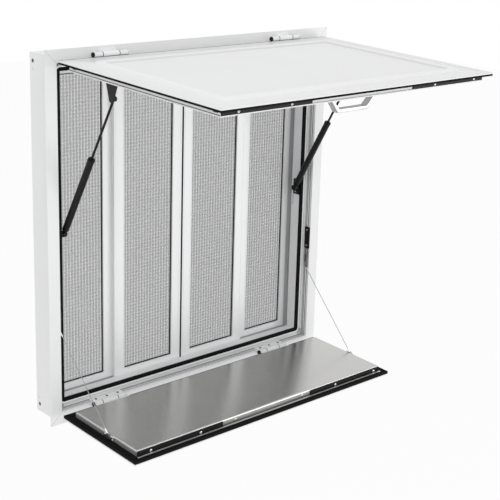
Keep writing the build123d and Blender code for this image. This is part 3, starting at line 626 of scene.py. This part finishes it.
def awning_skin():
    bead_in, slope_out, crest, slope_in, rise, field = 50.0, 7.0, 18.0, 8.0, 4.0, 0.5
    steps = 8
    loops = [(0.0, 1.5, AWNING_FACE + SKIN_T), (0.0, 1.5, AWNING_FACE + 0.7), (0.7, 1.2, AWNING_FACE),
             (7.0, 1.0, AWNING_FACE), (7.4, 1.0, AWNING_FACE + 0.35), (8.2, 1.0, AWNING_FACE + 0.35),
             (8.6, 1.0, AWNING_FACE)]
    for k in range(steps + 1):
        t = k / steps
        soft = (1 - math.cos(math.pi * t)) / 2
        loops.append((bead_in + slope_out * t, 26.0 - slope_out * t, AWNING_FACE - (rise - 0.1) * soft))
    loops.append((bead_in + slope_out + crest / 2, 8.0, AWNING_FACE - rise))
    for k in range(steps + 1):
        t = k / steps
        soft = (1 - math.cos(math.pi * t)) / 2
        loops.append((bead_in + slope_out + crest + slope_in * t, 6.0,
                      AWNING_FACE - (rise - 0.1) + (rise - 0.1 - field) * soft))
    skin = Piece("awning_skin_pressed", "awning", "white_paint", WHITE, BEAD_HIGHLIGHT_WHITE, BEAD_SHADE_WHITE)
    rings = [[skin.bm.verts.new(ON_AWNING @ Vector(p)) for p in rounded_loop(*loop)] for loop in loops]
    first = len(rings) - 2 * steps - 3
    for i, (a, b) in enumerate(zip(rings, rings[1:])):
        # Past the flat border, the outer slope and crest take the paler white (painted highlight) and the
        # inner slope the darker white (painted shade)
        mat = 0 if i < first else 1 if i < first + steps + 2 else 2
        for k in range(len(a)):
            j = (k + 1) % len(a)
            skin.bm.faces.new([a[k], a[j], b[j], b[k]]).material_index = mat
    skin.bm.faces.new(rings[-1])
    skin.bm.faces.new(list(reversed(rings[0])))
    obj = skin.done(angle=50.0)
    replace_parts(obj, "awning_skin")


awning_skin()

# Short seams where the skin's edge is folded at the front corners
folds = Piece("awning_corner_seams", "awning", "white_paint", SEAM_AND_SHADE)
for sx in (-1, 1):
    at = ON_AWNING @ Matrix.Translation((sx * (AWNING_SIDE - 6.0), AWNING_REACH - 6.0, AWNING_FACE))
    at = at @ Matrix.Rotation(math.radians(sx * 45.0), 4, "Z")
    folds.box((-7.0, -0.25, -0.05), (7.0, 0.25, 0.1), matrix=at)
folds.done()

# A black strip along the skin's rear edge: painted shade for the gap between the awning and the flange
back_shade = Piece("awning_back_shade_strip", "awning", "black_rubber", RUBBER_AND_SHADE)
back_shade.box((-AWNING_SIDE + 1.0, AWNING_START, AWNING_FACE - 0.1),
           (AWNING_SIDE - 1.0, AWNING_START + 2.2, AWNING_FACE + 0.3), matrix=ON_AWNING)
back_shade.done()


# The handle: a flat bar with soft edges on two feet
def handle():
    piece = Piece("awning_handle_soft", "awning", "grey_plastic", GREY)
    n0 = AWNING_INNER
    n1 = n0 + 37.0
    wide, grip, bar = 77.0, 48.0, 6.5
    slope = (wide - grip) / 37.0
    foot = wide - bar * math.hypot(1.0, slope)
    corner = foot - slope * (37.0 - bar)
    u0 = AWNING_REACH - 67.0
    u1 = u0 + 18.0
    outline = [(-wide, n0), (-grip, n1), (grip, n1), (wide, n0),
               (foot, n0), (corner, n1 - bar), (-corner, n1 - bar), (-foot, n0)]
    near = [piece.bm.verts.new((x, u0, n)) for x, n in outline]
    far = [piece.bm.verts.new((x, u1, n)) for x, n in outline]
    piece.bm.faces.new(near)
    piece.bm.faces.new(list(reversed(far)))
    for k in range(len(outline)):
        j = (k + 1) % len(outline)
        piece.bm.faces.new([near[k], far[k], far[j], near[j]])
    bmesh.ops.bevel(piece.bm, geom=list(piece.bm.edges), offset=1.6, segments=3, profile=0.5, affect="EDGES")
    bmesh.ops.transform(piece.bm, verts=list(piece.bm.verts), matrix=ON_AWNING)
    obj = piece.done(angle=50.0)
    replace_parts(obj, "awning_handle")


handle()

# The steel tray: a folded pan with rolled edges, open underneath, and a lip in front
def shelf_tray():
    piece = Piece("shelf_tray_folded", "shelf", "steel", STEEL, STEEL_SIDE, STEEL_WALL_SHADE)
    bm = piece.bm
    wall, bend, steps = 1.5, 4.0, 8
    low = SHELF_FACE + SKIN_T
    top = SHELF_INNER

    def loop(inset, n):
        x, u0, u1 = TRAY_HALF - inset, SHELF_TRAY_START + inset, SHELF_FRONT - inset
        corners = ((-x, u0, n), (x, u0, n), (x, u1, n), (-x, u1, n))
        return [bm.verts.new(ON_SHELF @ Vector(p)) for p in corners]

    def belt(a, b, mat):
        for k in range(4):
            j = (k + 1) % 4
            bm.faces.new([a[k], a[j], b[j], b[k]]).material_index = mat

    outer = [loop(0.0, low)]
    for k in range(steps + 1):
        a = math.pi / 2 * k / steps
        outer.append(loop(bend * (1 - math.cos(a)), top - bend * (1 - math.sin(a))))
    for k, (a, b) in enumerate(zip(outer, outer[1:])):
        # The first belt is the upright wall, in the darker steel: painted shade
        belt(a, b, 2 if k == 0 else 0)
    bm.faces.new(outer[-1]).material_index = 0
    inner = [loop(wall, low), loop(wall, top - wall)]
    belt(inner[0], inner[1], 1)
    bm.faces.new(inner[1]).material_index = 1
    belt(outer[0], inner[0], 1)
    piece.box((-TRAY_HALF, SHELF_FRONT, low), (TRAY_HALF, SHELF_FRONT + 4.0, low + 3.0), 1, bevel=0.6,
              matrix=ON_SHELF)
    for sx in (-1, 1):
        piece.box((sx * TRAY_HALF - 0.2, SHELF_TRAY_START + 1, low),
                  (sx * TRAY_HALF + 1.3, SHELF_FRONT, low + 1.2), 1, bevel=0.3, matrix=ON_SHELF)
    obj = piece.done(angle=35.0)
    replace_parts(obj, "shelf_tray")


shelf_tray()

# Ribs along the wide rubber edge of the shelf
ribs = Piece("shelf_seal_ribs", "shelf", "black_rubber", RUBBER_AND_SHADE)
for off in (4.0, 8.0):
    u, x = SHELF_REACH - off, SHELF_SIDE - off
    runs = [[(-x, u), (0, u), (x, u)]]
    runs += [[(sx * x, v) for v in (SHELF_START + 2, 150.0, u)] for sx in (-1, 1)]
    for run in runs:
        ribs.tube([ON_SHELF @ Vector((*p, SHELF_SEAL)) for p in run], 0.9, seg=8)
ribs.done()
# The bright line on the seal in front of the tray
line = Piece("shelf_seal_line", "shelf", "steel", STEEL_SIDE)
line.box((-TRAY_HALF - 2.0, SHELF_FRONT + 4.8, SHELF_SEAL - 0.3),
         (TRAY_HALF + 2.0, SHELF_FRONT + 10.0, SHELF_SEAL + 0.35), bevel=0.15, matrix=ON_SHELF)
line.done()


# Cables: a twisted strand with a crimped sleeve and a loop at each end
def cable(side, sx):
    low = ON_SHELF @ Vector((sx * 418.1, EYE_U, EYE_N))
    top = Vector((sx * HOOK_X, HOOK_Y, 235.0))
    way = (top - low).normalized()
    piece = Piece(side + "_cable_strand", None, "plated_steel", STRAND, BRIGHT)
    start = low + way * 3.2
    end = top - way * 2.2
    count = 90
    piece.tube([start.lerp(end, k / count) for k in range(count + 1)], 1.0, seg=18, twist=0.55, lobes=6,
               depth=0.15)
    for a, b in ((start, start + way * 13), (end, end - way * 13)):
        piece.tube([a.lerp(b, k / 6) for k in range(7)], 1.75, 1, seg=14)
        for k in (2, 4):
            ring = a.lerp(b, k / 6)
            piece.tube([ring - way * 0.8, ring + way * 0.8], 1.95, 1, seg=14)
    loops = ((Vector((sx * HOOK_X, HOOK_Y, 235.2)), Vector((0, 1, 0)), 2.4),
             (low + way * 0.9, Vector((1, 0, 0)), 2.9))
    for middle, normal, r in loops:
        spin = normal.to_track_quat("Z", "Y").to_matrix()
        turns = [math.radians(20 * k) for k in range(19)]
        ring = [middle + spin @ Vector((r * math.cos(a), r * math.sin(a), 0)) for a in turns]
        piece.tube(ring, 0.6, 1, seg=8, ends=False)
    obj = piece.done()
    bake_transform(obj)
    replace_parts(obj, side + "_cable")


cable("left", -1)
cable("right", 1)


# Strut collars and end caps
def strut_trim(side, sx):
    foot = Vector((sx * STRUT_X, *STRUT_FOOT))
    head = Vector((sx * STRUT_X, *STRUT_HEAD))
    way = (head - foot).normalized()
    turn = way.to_track_quat("Z", "X").to_matrix().to_4x4()
    cap = Piece(side + "_strut_collar", side + "_cylinder", "black_paint", PLASTIC_AND_SHADE)
    at = Matrix.Translation(foot + way * 232.0) @ turn
    cap.lathe([(8.55, 0), (9.0, 0.6), (9.0, 5.0), (8.4, 6.4), (4.6, 6.8), (3.3, 6.8)], at, seg=28)
    at = Matrix.Translation(foot + way * 12.0) @ turn
    cap.lathe([(4.5, 0), (6.0, 0.4), (8.8, 2.4), (8.8, 5.0), (8.55, 5.6)], at, seg=28)
    cap.done()


strut_trim("left", -1)
strut_trim("right", 1)


# The room: floor, light and camera
def seen_rays(tree):
    """1 for the rays that show the background: straight to the camera, or in metal and glass."""
    path = tree.nodes.new("ShaderNodeLightPath")
    value = path.outputs["Is Camera Ray"]
    for name in ("Is Glossy Ray", "Is Transmission Ray"):
        either = tree.nodes.new("ShaderNodeMath")
        either.operation = "MAXIMUM"
        tree.links.new(value, either.inputs[0])
        tree.links.new(path.outputs[name], either.inputs[1])
        value = either.outputs["Value"]
    return value


def white_room():
    world = bpy.data.worlds.new("room")
    world.use_nodes = True
    tree = world.node_tree
    back = tree.nodes["Background"]
    back.inputs["Color"].default_value = (1, 1, 1, 1)
    level = tree.nodes.new("ShaderNodeMapRange")
    level.inputs["To Min"].default_value = AMBIENT
    level.inputs["To Max"].default_value = 1.0
    tree.links.new(seen_rays(tree), level.inputs["Value"])
    tree.links.new(level.outputs["Result"], back.inputs["Strength"])
    bpy.context.scene.world = world


def floor():
    mesh = bpy.data.meshes.new("floor")
    s, z = FLOOR_SIZE, FLOOR_Z
    mesh.from_pydata([(-s, -s, z), (s, -s, z), (s, s, z), (-s, s, z)], [], [(0, 1, 2, 3)])
    mat = bpy.data.materials.new("floor_paint")
    mat.use_nodes = True
    tree = mat.node_tree
    shader = tree.nodes["Principled BSDF"]
    shader.inputs["Roughness"].default_value = 0.9
    noise = tree.nodes.new("ShaderNodeTexNoise")
    noise.inputs["Scale"].default_value = 3.0
    tone = tree.nodes.new("ShaderNodeMapRange")
    tone.inputs["To Min"].default_value = 0.86
    tone.inputs["To Max"].default_value = 0.88
    tree.links.new(noise.outputs["Fac"], tone.inputs["Value"])
    tree.links.new(tone.outputs["Result"], shader.inputs["Base Color"])
    glow = tree.nodes.new("ShaderNodeEmission")
    mix = tree.nodes.new("ShaderNodeMixShader")
    share = tree.nodes.new("ShaderNodeMath")
    share.operation = "MULTIPLY"
    share.inputs[1].default_value = FLOOR_SHARE
    tree.links.new(seen_rays(tree), share.inputs[0])
    tree.links.new(share.outputs["Value"], mix.inputs["Fac"])
    tree.links.new(shader.outputs["BSDF"], mix.inputs[1])
    tree.links.new(glow.outputs["Emission"], mix.inputs[2])
    tree.links.new(mix.outputs["Shader"], tree.nodes["Material Output"].inputs["Surface"])
    mesh.materials.append(mat)
    obj = bpy.data.objects.new("floor", mesh)
    bpy.context.scene.collection.objects.link(obj)


def lamp(name, place, target, size, power):
    data = bpy.data.lights.new(name, "AREA")
    data.shape = "DISK"
    data.size = size
    data.energy = power
    obj = bpy.data.objects.new(name, data)
    obj.location = place
    obj.rotation_euler = (Vector(target) - Vector(place)).to_track_quat("-Z", "Y").to_euler()
    bpy.context.scene.collection.objects.link(obj)


def camera():
    """The photograph's viewpoint, from a fit of the window's corners."""
    yaw, pitch, roll = (math.radians(a) for a in CAMERA_ANGLES)
    ahead = Vector((math.sin(yaw) * math.cos(pitch), math.cos(yaw) * math.cos(pitch), math.sin(pitch)))
    right = Vector((math.cos(yaw), -math.sin(yaw), 0))
    up = right.cross(ahead)
    right, up = (right * math.cos(roll) + up * math.sin(roll), up * math.cos(roll) - right * math.sin(roll))
    data = bpy.data.cameras.new("camera")
    data.sensor_width = 36.0
    data.lens = CAMERA_LENS
    data.shift_x, data.shift_y = CAMERA_SHIFT
    obj = bpy.data.objects.new("camera", data)
    turn = Matrix((right, up, -ahead)).transposed().to_4x4()
    obj.matrix_world = Matrix.Translation(Vector(CAMERA_PLACE)) @ turn
    bpy.context.scene.collection.objects.link(obj)
    bpy.context.scene.camera = obj


white_room()
floor()
lamp("key", (-1.6, -3.6, 4.6), (0, -0.1, 0.6), 3.0, 55)
lamp("side", (-3.4, -0.7, 0.7), (-0.3, -0.2, 0.6), 1.8, 9)
lamp("front", (3.0, -3.6, -0.35), (0, -0.2, 0.5), 2.4, 44)
camera()

bpy.context.scene.view_settings.view_transform = "Standard"
